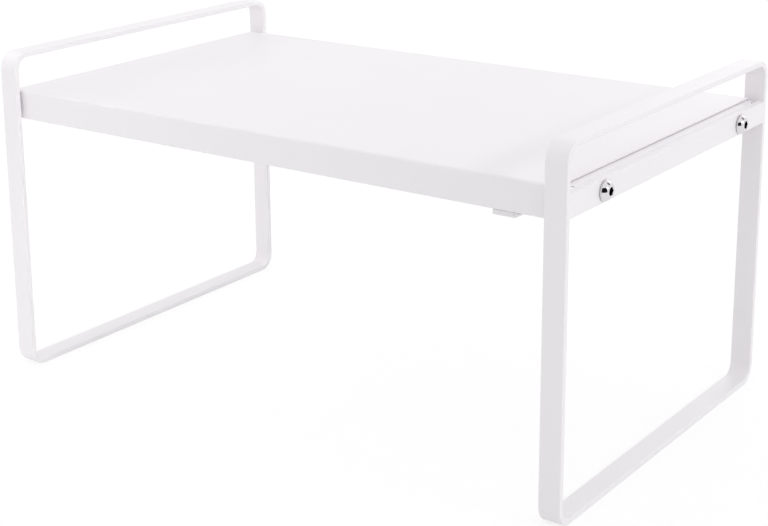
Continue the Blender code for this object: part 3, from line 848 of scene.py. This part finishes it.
@dataclass
class FoldedBoard(Piece):
    """A board folded from a notched blank: a top, lipped side flanges and one end flange."""

    node: str
    piece: str
    end: End
    flange_height: float
    end_height: float
    lip_width: float
    relief_inset: float
    end_bend_radius: float
    lip_fixings: tuple[str, ...]
    thickness: float = 0.0008
    bend_radius: float = 0.0015
    bend_segments: int = 8
    notch_allowance: float = 0.0001
    relief_length: float = 0.0062
    edge_radius: float = 0.00018
    edge_segments: int = 3
    hole_radius: float = 0.0033
    lip_hole_radius: float = 0.0016

    def build(self) -> None:
        """Folds, thickens, drills and hands over the board."""
        bench = self.bench
        box = Box.of(self.node)
        half_width = box.size.y / 2
        notch = self.bend_radius + self.notch_allowance
        obj = bench.plane(self.piece, box.size.x, box.size.y, box.size.x / 2)
        with bench.editing(obj):
            self.notch_corners(half_width, notch)
            self.fold(half_width, notch)
        bench.thicken(obj, self.thickness)
        bench.round_edges(obj, self.edge_radius, self.edge_segments)
        face_x = box.outer_x(self.end)
        bench.settle(obj, at(face_x, 0.0, box.high.z) @ self.end.inward)
        lip_y = half_width - (self.lip_width + self.bend_radius) / 2
        for side in Side:
            screw = Box.of(f"{self.end.label}_screw_{side.label}").centre
            place = at(face_x, screw.y, screw.z) @ self.end.outward
            bench.drill(obj, self.hole_radius, 2 * CUT_OVERRUN, place)
            for fixing in self.lip_fixings:
                fixing_x = Box.of(f"{fixing}_{side.label}").centre.x
                place = at(fixing_x, side.value * lip_y, box.high.z - self.flange_height)
                bench.drill(obj, self.lip_hole_radius, CUT_OVERRUN, place)
        self.shop.hand_over(obj, Slot.POWDER_COAT, self.end, self.node)

    def notch_corners(self, half_width: float, notch: float) -> None:
        """Cuts the notches out of the blank's two corners at its end flange.

        Args:
            half_width: Half the blank's width.
            notch: The depth of the notches.
        """
        end_half_width = half_width - self.relief_inset
        for x in (notch, self.relief_length):
            self.bench.divide(0, x)
        for y in (end_half_width, -end_half_width):
            self.bench.divide(1, y)

        def in_notch(face: Face) -> bool:
            """Returns whether a face lies in a corner's notch."""
            centre = face.calc_center_median()
            return centre.x < notch and abs(centre.y) > end_half_width

        self.bench.pick(Element.FACES, in_notch)
        bpy.ops.mesh.delete(type="FACE")

    def fold(self, half_width: float, notch: float) -> None:
        """Folds the flanges and lips down and rounds the bends.

        The side flanges stop short of the end flange, but their bends run on over the cut.

        Args:
            half_width: Half the board's width.
            notch: How far the bends reach down where the side flanges are cut back.
        """
        bench = self.bench
        flange_start = self.relief_length - PLACE_TOLERANCE
        for side in Side:
            side_y = side.value * half_width
            bench.pick_free_edges(1, side_y)
            bench.extrude_edges((0.0, 0.0, -notch))
            bench.pick(
                Element.EDGES,
                lambda edge, y=side_y: edge.is_boundary
                and lies_at(edge, 1, y)
                and lies_at(edge, 2, -notch)
                and min(vert.co.x for vert in edge.verts) > flange_start,
            )
            bench.extrude_edges((0.0, 0.0, notch - self.flange_height))
            bench.extrude_edges((0.0, -side.value * self.lip_width, 0.0))
        bench.pick_free_edges(0, 0.0)
        bench.extrude_edges((0.0, 0.0, -self.end_height))
        bench.face_sheet(1.0)
        for radius, at_end in ((self.end_bend_radius, True), (self.bend_radius, False)):
            bench.pick(
                Element.EDGES,
                lambda edge, wanted=at_end: is_fold(edge) and lies_at(edge, 0, 0.0) is wanted,
            )
            bench.bevel(radius, self.bend_segments)


@dataclass
class StiffeningRib(Piece):
    """A top-hat rib, spot-welded by its brims under the inner board, on each side."""

    thickness: float = 0.0008
    bend_radius: float = 0.0007
    bend_segments: int = 6
    crown_width: float = 0.014
    web_slope: float = 0.003
    brim_width: float = 0.008
    edge_radius: float = 0.00015
    edge_segments: int = 3
    seat_gap: float = 0.0002
    spot_count: int = 9
    spot_radius: float = 0.0022
    spot_depth: float = 0.0006
    spot_dent: float = 0.00018
    spot_sides: int = 24
    spot_rings: int = 12
    spot_end_distance: float = 0.018

    def build(self) -> None:
        """Models one rib and puts a copy on each side."""
        model = self.folded()
        for side in Side:
            node = f"rib_{side.label}"
            box = Box.of(node)
            place = at(box.centre.x, box.centre.y, box.low.z + self.seat_gap)
            self.shop.put(model, f"{side.label}_top_hat_rib", place, Slot.POWDER_COAT, End.RIGHT, node)
        self.bench.scrap(model)

    def folded(self) -> Obj:
        """Folds and dents the rib.

        Returns:
            The rib, with its crown on the origin.
        """
        bench = self.bench
        size = Box.of("rib_front").size
        rise = size.z - self.thickness
        obj = bench.plane("top_hat_rib", size.x, self.crown_width)
        with bench.editing(obj):
            for side in Side:
                bench.pick_free_edges(1, side.value * self.crown_width / 2)
                bench.extrude_edges((0.0, side.value * self.web_slope, rise))
                bench.extrude_edges((0.0, side.value * self.brim_width, 0.0))
            bench.face_sheet(-1.0)
            bench.pick(Element.EDGES, is_fold)
            bench.bevel(self.bend_radius, self.bend_segments)
        bench.thicken(obj, self.thickness)
        bench.round_edges(obj, self.edge_radius, self.edge_segments)
        brim_y = self.crown_width / 2 + self.web_slope + self.brim_width / 2
        run = size.x - 2 * self.spot_end_distance
        for side in Side:
            start = Vector((-run / 2, side.value * brim_y, rise - self.spot_depth + self.spot_dent))
            bench.combine(obj, self.spots(start, run / (self.spot_count - 1)))
        return obj

    def spots(self, start: Vector, spacing: float) -> Obj:
        """Makes the tool that dents one brim's row of spot welds.

        Args:
            start: The middle of the first spot.
            spacing: The distance from spot to spot.

        Returns:
            The row of lenses.
        """
        bench = self.bench
        bpy.ops.mesh.primitive_uv_sphere_add(segments=self.spot_sides, ring_count=self.spot_rings)
        row = bpy.context.active_object
        bench.settle(row, Matrix.Diagonal((self.spot_radius, self.spot_radius, self.spot_depth, 1.0)))
        steps = {"use_relative_offset": False, "use_constant_offset": True}
        move = (spacing, 0.0, 0.0)
        bench.modify(row, "ARRAY", count=self.spot_count, constant_offset_displace=move, **steps)
        return bench.settle(row, Matrix.Translation(start))


@dataclass
class ButtonScrew(Piece):
    """A button-head screw with a hexagon socket and a cut thread, two at each end."""

    head_radius: float = 0.00525
    head_height: float = 0.0035
    face_radius: float = 0.0030
    rim_height: float = 0.0009
    rim_radius: float = 0.0002
    shank_radius: float = 0.003
    thread_depth: float = 0.0006
    thread_pitch: float = 0.001
    thread_steps: tuple[float, float, float, float] = (0.0, 3 / 8, 5 / 8, 7 / 8)
    point_chamfer: float = 0.0007
    key_size: float = 0.004
    socket_depth: float = 0.0021
    socket_mouth_radius: float = 0.00242
    socket_mouth_depth: float = 0.0003
    drill_radius: float = 0.0019
    drill_point_depth: float = 0.0006
    dome_segments: int = 14
    sides: int = 64

    def build(self) -> None:
        """Models one screw and puts a copy in each of its four places."""
        model = self.standing()
        for end in End:
            for side in Side:
                node = f"{end.label}_screw_{side.label}"
                box = Box.of(node)
                seat_x = box.outer_x(end) - end.value * self.head_height
                place = at(seat_x, box.centre.y, box.centre.z) @ end.outward
                self.shop.put(model, f"{end.label}_button_screw_{side.label}", place, Slot.NICKEL, end, node)
        self.bench.scrap(model)

    def standing(self) -> Obj:
        """Turns the screw, sinks its socket, plates it and paints shade onto the socket's walls.

        Returns:
            The screw, head up, with its seat on the origin.
        """
        bench = self.bench
        length = Box.of("left_screw_front").size.x - self.head_height
        obj = bench.turned("button_screw", self.outline(length), self.sides)
        corner = self.key_size / 2 / math.cos(math.pi / HEXAGON_SIDES)
        depth = self.socket_depth + CUT_OVERRUN
        place = at(0.0, 0.0, self.head_height + CUT_OVERRUN - depth / 2)
        bench.drill(obj, corner, depth, place, HEXAGON_SIDES)
        bench.combine(obj, bench.turned("socket_mouth", self.mouth(), self.sides))
        obj.data.materials.clear()
        obj.data.materials.append(self.shop.finishes[Slot.NICKEL])
        # The socket's walls below the chamfer take painted shade, a near-black nickel for the dark recess.
        bench.paint(obj, self.shop.socket_painted_shade, self.in_socket)
        return obj

    def in_socket(self, face: Face) -> bool:
        """Returns whether a face of the standing screw lies in the socket, below its chamfer."""
        centre = face.calc_center_median()
        is_inside = math.hypot(centre.x, centre.y) < self.socket_mouth_radius
        return is_inside and PLACE_TOLERANCE < centre.z < self.head_height - self.socket_mouth_depth

    def mouth(self) -> list[Point]:
        """Returns the outline of the tool that chamfers the socket's mouth and drills its point."""
        floor = self.head_height - self.socket_depth
        return [
            (0.0, self.head_height + CUT_OVERRUN),
            (self.socket_mouth_radius, self.head_height + CUT_OVERRUN),
            (self.socket_mouth_radius, self.head_height),
            (self.drill_radius, self.head_height - self.socket_mouth_depth),
            (self.drill_radius, floor),
            (0.0, floor - self.drill_point_depth),
        ]

    def outline(self, length: float) -> list[Point]:
        """Draws the screw's half outline, from the head's face to the point.

        Args:
            length: The length of the shank under the seat.

        Returns:
            Radius and height of each point.
        """
        root = self.shank_radius - self.thread_depth
        turns = int((length - self.point_chamfer) / self.thread_pitch)
        start = length - self.point_chamfer - turns * self.thread_pitch
        points = [
            (0.0, self.head_height),
            *self.dome(),
            (self.head_radius, self.rim_radius),
            (self.head_radius - self.rim_radius, 0.0),
            (self.shank_radius, 0.0),
        ]
        for turn in range(turns):
            for radius, step in zip((self.shank_radius, root, root, self.shank_radius), self.thread_steps):
                points.append((radius, -start - (turn + step) * self.thread_pitch))
        points.append((self.shank_radius, self.point_chamfer - length))
        points.append((self.shank_radius - self.point_chamfer, -length))
        points.append((0.0, -length))
        return points

    def dome(self) -> list[Point]:
        """Returns the head's dome, an arc of a ball between the flat crown and the rim."""
        squares = self.face_radius**2 + self.head_height**2 - self.head_radius**2 - self.rim_height**2
        centre = squares / (2 * (self.head_height - self.rim_height))
        ball = math.hypot(self.face_radius, self.head_height - centre)
        first = math.atan2(self.face_radius, self.head_height - centre)
        last = math.atan2(self.head_radius, self.rim_height - centre)
        return [
            (ball * math.sin(angle), centre + ball * math.cos(angle))
            for angle in arc(first, last, self.dome_segments)
        ]


@dataclass
class WeldNut(Piece):
    """A hexagon weld nut inside an end flange, behind each screw."""

    bore_radius: float = 0.0031
    bore_chamfer: float = 0.0005
    corner_chamfer: float = 0.0006
    collar_radius: float = 0.0044
    edge_radius: float = 0.00012
    edge_segments: int = 3
    seat_gap: float = 0.0003
    sides: int = 72

    def build(self) -> None:
        """Models one nut and puts a copy in each of its four places."""
        model = self.standing()
        for end in End:
            for side in Side:
                node = f"{end.label}_nut_{side.label}"
                place = Matrix.Translation(Box.of(node).centre) @ end.outward
                self.shop.put(model, f"{end.label}_weld_nut_{side.label}", place, Slot.ZINC, end, node)
        self.bench.scrap(model)

    def standing(self) -> Obj:
        """Cuts the nut, turns its corners, adds its collar and bores it.

        Returns:
            The nut, with its middle on the origin and its collar up.
        """
        bench = self.bench
        size = Box.of("left_nut_front").size
        flat, half = size.z / 2, size.x / 2
        corner = flat / math.cos(math.pi / HEXAGON_SIDES)
        obj = bench.rod("weld_nut", corner, size.x, HEXAGON_SIDES)
        belly = (corner + CUT_OVERRUN, 0.0)
        barrel = self.tool((flat, half), (corner, half - self.corner_chamfer), belly)
        bench.combine(obj, barrel, "INTERSECT")
        bench.round_edges(obj, self.edge_radius, self.edge_segments)
        collar = half + self.seat_gap
        bench.plug(obj, self.collar_radius, collar, at(0.0, 0.0, collar / 2), self.sides)
        mouth = (self.bore_radius + self.bore_chamfer, half)
        bench.combine(obj, self.tool(mouth, (self.bore_radius, half - self.bore_chamfer)))
        return obj

    def tool(self, mouth: Point, waist: Point, *belly: Point) -> Obj:
        """Turns a tool whose two ends are alike.

        Args:
            mouth: Radius and height where it leaves the nut's face.
            waist: Radius and height where its chamfer ends.
            *belly: The points between its halves.

        Returns:
            The tool.
        """
        top = mouth[1] + CUT_OVERRUN
        upper = [(0.0, top), (mouth[0], top), mouth, waist]
        lower = [(radius, -height) for radius, height in reversed(upper)]
        return self.bench.turned("nut_tool", [*upper, *belly, *lower], self.sides)


@dataclass
class LipClip(Piece):
    """A moulded clip that hooks round a board's lip: a web with a low and a high arm."""

    node: str
    piece: str
    end: End
    web_thickness: float
    low_arm_height: float
    high_arm_height: float
    lip_reach: float
    peg_y: float
    peg_radius: float = 0.0015
    peg_sides: int = 40
    edge_radius: float = 0.00025
    edge_segments: int = 4

    @property
    def box(self) -> Box:
        """Returns the rear clip's box."""
        return Box.of(f"{self.node}_rear")

    def build(self) -> None:
        """Models the rear clip, mirrors it to the front and hands both over."""
        bench = self.bench
        rear = self.shaped()
        front = bench.settle(bench.copied(rear, f"{self.piece}_front"), Matrix.Scale(-1.0, 4, (0, 1, 0)))
        with bench.editing(front):
            bench.close_seams()
        self.shop.hand_over(rear, Slot.NYLON, self.end, f"{self.node}_rear")
        self.shop.hand_over(front, Slot.NYLON, self.end, f"{self.node}_front")

    def shaped(self) -> Obj:
        """Models the rear clip.

        Returns:
            The clip, in its place.
        """
        obj = self.block()
        self.bench.round_edges(obj, self.edge_radius, self.edge_segments)
        self.add_peg(obj)
        return obj

    def block(self) -> Obj:
        """Models the rear clip's web and pulls its arms out of it.

        Returns:
            The clip.
        """
        bench, box = self.bench, self.box
        web_y = box.low.y + self.web_thickness
        short_y = box.high.y - self.lip_reach
        is_low_long = self.low_arm_height > self.high_arm_height
        low_y, high_y = (box.high.y, short_y) if is_low_long else (short_y, box.high.y)
        low_top, high_bottom = box.low.z + self.low_arm_height, box.high.z - self.high_arm_height
        obj = bench.block(f"{self.piece}_rear", box.low, Vector((box.high.x, web_y, box.high.z)))
        with bench.editing(obj):
            bench.divide(2, low_top)
            bench.divide(2, high_bottom)
            for reach_y, bottom, top in ((low_y, box.low.z, low_top), (high_y, high_bottom, box.high.z)):
                bench.pick(
                    Element.FACES,
                    lambda face, bottom=bottom, top=top: face.normal.y > FACING_SHARE
                    and abs(face.calc_center_median().y - web_y) < PLACE_TOLERANCE
                    and bottom < face.calc_center_median().z < top,
                )
                move = (0.0, reach_y - web_y, 0.0)
                bpy.ops.mesh.extrude_region_move(TRANSFORM_OT_translate={"value": move})
        return obj

    def add_peg(self, obj: Obj) -> None:
        """Joins the two arms of the rear clip by the peg that fills the lip's hole.

        Args:
            obj: The clip.
        """
        low = self.box.low.z + self.low_arm_height / 2
        high = self.box.high.z - self.high_arm_height / 2
        place = at(self.box.centre.x, self.peg_y, (low + high) / 2)
        self.bench.plug(obj, self.peg_radius, high - low, place, self.peg_sides)


@dataclass
class GuideClip(LipClip):
    """The guide at the mouth, with its sloped lead-in and the dimple of its mould."""

    edge_radius: float = 0.00012
    lead_in_length: float = 0.0032
    lead_in_height: float = 0.0019
    dimple_radius: float = 0.00042
    dimple_depth: float = 0.0004
    dimple_setback: float = 0.0039
    dimple_height: float = 0.0015
    dimple_sides: int = 32

    def shaped(self) -> Obj:
        """Models the rear guide with its lead-in and dimple.

        Returns:
            The guide, in its place.
        """
        bench = self.bench
        low, high = self.box.low, self.box.high
        obj = self.block()
        slope = math.atan2(self.lead_in_height, self.lead_in_length)
        start = Vector((high.x - self.lead_in_length, 0.0, low.z))
        below = Vector((math.sin(slope), 0.0, -math.cos(slope)))
        with bench.editing(obj):
            bpy.ops.mesh.select_all(action="SELECT")
            bpy.ops.mesh.bisect(plane_co=start, plane_no=below, use_fill=True, clear_outer=True)
            bench.close_seams()
        bench.round_edges(obj, self.edge_radius, self.edge_segments)
        spot = at(high.x - self.dimple_setback, high.y, low.z + self.dimple_height)
        level = Matrix.Rotation(QUARTER_TURN, 4, "X")
        bench.drill(obj, self.dimple_radius, 2 * self.dimple_depth, spot @ level, self.dimple_sides)
        self.add_peg(obj)
        return obj


@dataclass
class StopStud(Piece):
    """The shouldered rivet in each inner lip that stops at the guide."""

    head_height: float = 0.0011
    shank_radius: float = 0.0015
    rivet_radius: float = 0.0025
    rivet_height: float = 0.001
    edge_radius: float = 0.0002
    dome_segments: int = 10
    sides: int = 48

    def build(self) -> None:
        """Turns one stud and puts a copy on each side."""
        model = self.bench.turned("stop_rivet", self.outline(), self.sides)
        for side in Side:
            node = f"stop_stud_{side.label}"
            box = Box.of(node)
            place = at(box.centre.x, box.centre.y, box.low.z)
            self.shop.put(model, f"{side.label}_stop_rivet", place, Slot.ZINC, End.RIGHT, node)
        self.bench.scrap(model)

    def outline(self) -> list[Point]:
        """Draws the stud's half outline, from the closed rivet to the head.

        Returns:
            Radius and height of each point.
        """
        size = Box.of("stop_stud_front").size
        rivet_z = size.z - self.rivet_height
        head_radius = size.y / 2
        points = [(0.0, size.z)]
        for angle in list(arc(0.0, QUARTER_TURN, self.dome_segments))[1:]:
            radius = self.rivet_radius * math.sin(angle)
            points.append((radius, rivet_z + self.rivet_height * math.cos(angle)))
        return [
            *points,
            (self.shank_radius, rivet_z),
            (self.shank_radius, self.head_height),
            (head_radius - self.edge_radius, self.head_height),
            (head_radius, self.head_height - self.edge_radius),
            (head_radius, self.edge_radius),
            (head_radius - self.edge_radius, 0.0),
            (0.0, 0.0),
        ]


def placed(name: str, data: bpy.types.ID, placement: Matrix) -> Obj:
    """Adds an object for a camera or a lamp.

    Args:
        name: The object's name.
        data: The camera or lamp.
        placement: Its placement.

    Returns:
        The object.
    """
    obj = bpy.data.objects.new(name, data)
    bpy.context.scene.collection.objects.link(obj)
    obj.matrix_world = placement
    return obj


@dataclass(frozen=True)
class Viewpoint:
    """Where the photograph was taken from, and its lens."""

    place: Place = (0.52748, -0.73499, 0.37526)
    azimuth: float = math.radians(35.81)
    elevation: float = math.radians(14.80)
    roll: float = math.radians(-0.44)
    lens: float = 76.97
    sensor_width: float = 36.0
    shift: Point = (0.0132, -0.1497)
    near: float = 0.01
    far: float = 50.0

    def build(self) -> None:
        """Adds the camera and makes it the scene's."""
        data = bpy.data.cameras.new("camera")
        data.lens = self.lens
        data.sensor_width = self.sensor_width
        data.sensor_fit = "HORIZONTAL"
        data.shift_x, data.shift_y = self.shift
        data.clip_start = self.near
        data.clip_end = self.far
        turn = Matrix.Rotation(self.azimuth, 4, "Z")
        tilt = Matrix.Rotation(QUARTER_TURN - self.elevation, 4, "X")
        lean = Matrix.Rotation(self.roll, 4, "Z")
        placement = Matrix.Translation(self.place) @ turn @ tilt @ lean
        bpy.context.scene.camera = placed("camera", data, placement)


@dataclass(frozen=True)
class SoftBox:
    """A round soft lamp that looks at a point of the shelf."""

    name: str
    place: Place
    target: Place
    size: float
    power: float
    spread: float = HALF_TURN

    def build(self) -> None:
        """Adds the lamp."""
        data = bpy.data.lights.new(self.name, "AREA")
        data.shape = "DISK"
        data.size = self.size
        data.energy = self.power
        data.spread = self.spread
        aim = (Vector(self.target) - Vector(self.place)).to_track_quat("-Z", "Y")
        placed(self.name, data, Matrix.Translation(self.place) @ aim.to_matrix().to_4x4())


@dataclass(frozen=True)
class BlackFlag:
    """A black card that stands upright from one point to another, and shows in gloss alone."""

    name: str
    start: Point
    finish: Point
    bottom: float
    top: float
    color: Color = (0.01, 0.01, 0.01)

    def build(self, bench: Bench) -> None:
        """Stands the card up in its place."""
        start, finish = Vector(self.start), Vector(self.finish)
        along = finish - start
        card = bench.plane(self.name, along.length, self.top - self.bottom)
        turn = Matrix.Rotation(math.atan2(along.y, along.x), 4, "Z")
        upright = Matrix.Rotation(QUARTER_TURN, 4, "X")
        middle = Vector((*((start + finish) / 2), (self.bottom + self.top) / 2))
        bench.settle(card, Matrix.Translation(middle) @ turn @ upright)
        card.visible_camera = False
        card.visible_diffuse = False
        card.visible_transmission = False
        card.visible_shadow = False
        graph = Graph.of_material(self.name)
        graph.show(graph.matt(self.color))
        card.data.materials.append(graph.owner)


@dataclass
class Studio:
    """A white room: a pale floor with a faint shadow, soft lamps, black flags and a white surround."""

    floor_size: float = 12.0
    floor_drop: float = 0.00005
    floor_color: Color = (0.93, 0.93, 0.93)
    shadow_color: Color = (0.22, 0.22, 0.22)
    glow: float = 0.80
    surround: float = 0.772
    lamps: tuple[SoftBox, ...] = (
        SoftBox("right_hand", (2.4, -0.2, 1.24), (0.0, 0.0, 0.1), 0.48, 9.9),
        SoftBox("left_high", (-1.3, 0.0, 1.0), (0.0, 0.0, 0.1), 1.0, 3.0),
        SoftBox("left_low", (-1.5, 0.0, 0.5), (0.0, 0.0, 0.08), 0.8, 1.5),
        SoftBox("rear", (0.0, 1.4, 0.8), (0.0, 0.0, 0.1), 1.0, 2.4),
        SoftBox("overhead", (-0.2, 0.2, 1.5), (0.0, 0.0, 0.15), 1.4, 0.6),
        SoftBox("front", (0.5, -1.85, 0.5), (-0.38, 0.0, 0.1), 0.4, 0.18, math.radians(28)),
    )
    flags: tuple[BlackFlag, ...] = (
        BlackFlag("left_flag", (-0.6, -0.75), (-0.6, 0.75), 0.0, 0.12),
        BlackFlag("camera_flag", (0.279, -0.607), (0.728, -0.212), 0.07, 0.48),
        BlackFlag("far_flag", (0.69, 0.255), (0.545, 0.408), 0.55, 0.98),
    )

    def build(self, bench: Bench) -> None:
        """Adds the surround, the floor, the lamps and the flags."""
        self.build_surround()
        self.build_floor(bench)
        for lamp in self.lamps:
            lamp.build()
        for flag in self.flags:
            flag.build(bench)
        bpy.context.scene.view_settings.view_transform = "Standard"

    @staticmethod
    def seen(graph: Graph) -> Signal:
        """Returns 1 for the rays that show the surround itself, and 0 for those that light by it."""
        rays = graph.node("ShaderNodeLightPath").outputs
        direct = Signal(graph, rays["Is Camera Ray"])
        return direct.larger(rays["Is Glossy Ray"]).larger(rays["Is Transmission Ray"])

    def build_surround(self) -> None:
        """Makes the world: white where it is seen, softer where it lights."""
        world = bpy.data.worlds.new("surround")
        bpy.context.scene.world = world
        graph = Graph(world)
        strength = self.seen(graph) * (1 - self.surround) + self.surround
        graph.show(graph.shader("ShaderNodeBackground", {"Color": (*WHITE, 1.0), "Strength": strength}))

    def build_floor(self, bench: Bench) -> None:
        """Lays the floor, which shows white with a faint shadow and can be seen through from below."""
        floor = bench.plane("floor", self.floor_size, self.floor_size)
        bench.settle(floor, at(0.0, 0.0, -self.floor_drop))
        graph = Graph.of_material("floor")
        glow = graph.shader("ShaderNodeEmission", {"Strength": self.glow})
        shown = graph.shader("ShaderNodeAddShader", {0: graph.matt(self.shadow_color), 1: glow})
        plain = graph.matt(self.floor_color)
        lit = graph.shader("ShaderNodeMixShader", {0: self.seen(graph), 1: plain, 2: shown})
        below = graph.node("ShaderNodeNewGeometry").outputs["Backfacing"]
        clear = graph.shader("ShaderNodeBsdfTransparent")
        graph.show(graph.shader("ShaderNodeMixShader", {0: below, 1: lit, 2: clear}))
        floor.data.materials.append(graph.owner)


def main() -> None:
    """Builds the studio and every piece of the shelf."""
    logging.basicConfig(level=logging.INFO, format="%(name)s: %(message)s")
    bench = Bench()
    Viewpoint().build()
    Studio().build(bench)
    finishes = {
        Slot.POWDER_COAT: PowderCoat().material(),
        Slot.NICKEL: BrightNickel().material(),
        Slot.ZINC: ZincPlate().material(),
        Slot.NYLON: WhiteNylon().material(),
    }
    # The second nickel is painted shade for the screw sockets.
    shop = Workshop(bench, finishes, SocketPaintedShade().material())
    outer_board = FoldedBoard(
        shop,
        "outer_board",
        "outer_folded_sheet",
        End.LEFT,
        flange_height=0.017,
        end_height=0.018,
        lip_width=0.010,
        relief_inset=0.003,
        end_bend_radius=0.0015,
        lip_fixings=("guide",),
    )
    inner_board = FoldedBoard(
        shop,
        "inner_board",
        "inner_folded_sheet",
        End.RIGHT,
        flange_height=0.0134,
        end_height=0.0129,
        lip_width=0.008,
        relief_inset=0.006,
        end_bend_radius=0.0009,
        lip_fixings=("shoe", "stop_stud"),
    )
    guide = GuideClip(
        shop,
        "guide",
        "nylon_guide",
        End.LEFT,
        web_thickness=0.0015,
        low_arm_height=0.0025,
        high_arm_height=0.0011,
        lip_reach=0.001,
        peg_y=0.10125,
    )
    shoe = LipClip(
        shop,
        "shoe",
        "nylon_shoe",
        End.RIGHT,
        web_thickness=0.0015,
        low_arm_height=0.0011,
        high_arm_height=0.0015,
        lip_reach=0.0007,
        peg_y=0.10085,
    )
    end_pieces = (LoopFrame(shop), ButtonScrew(shop), WeldNut(shop))
    side_pieces = (StiffeningRib(shop), StopStud(shop), guide, shoe)
    for piece in (*end_pieces, outer_board, inner_board, *side_pieces):
        piece.build()


if __name__ == "__main__":
    main()
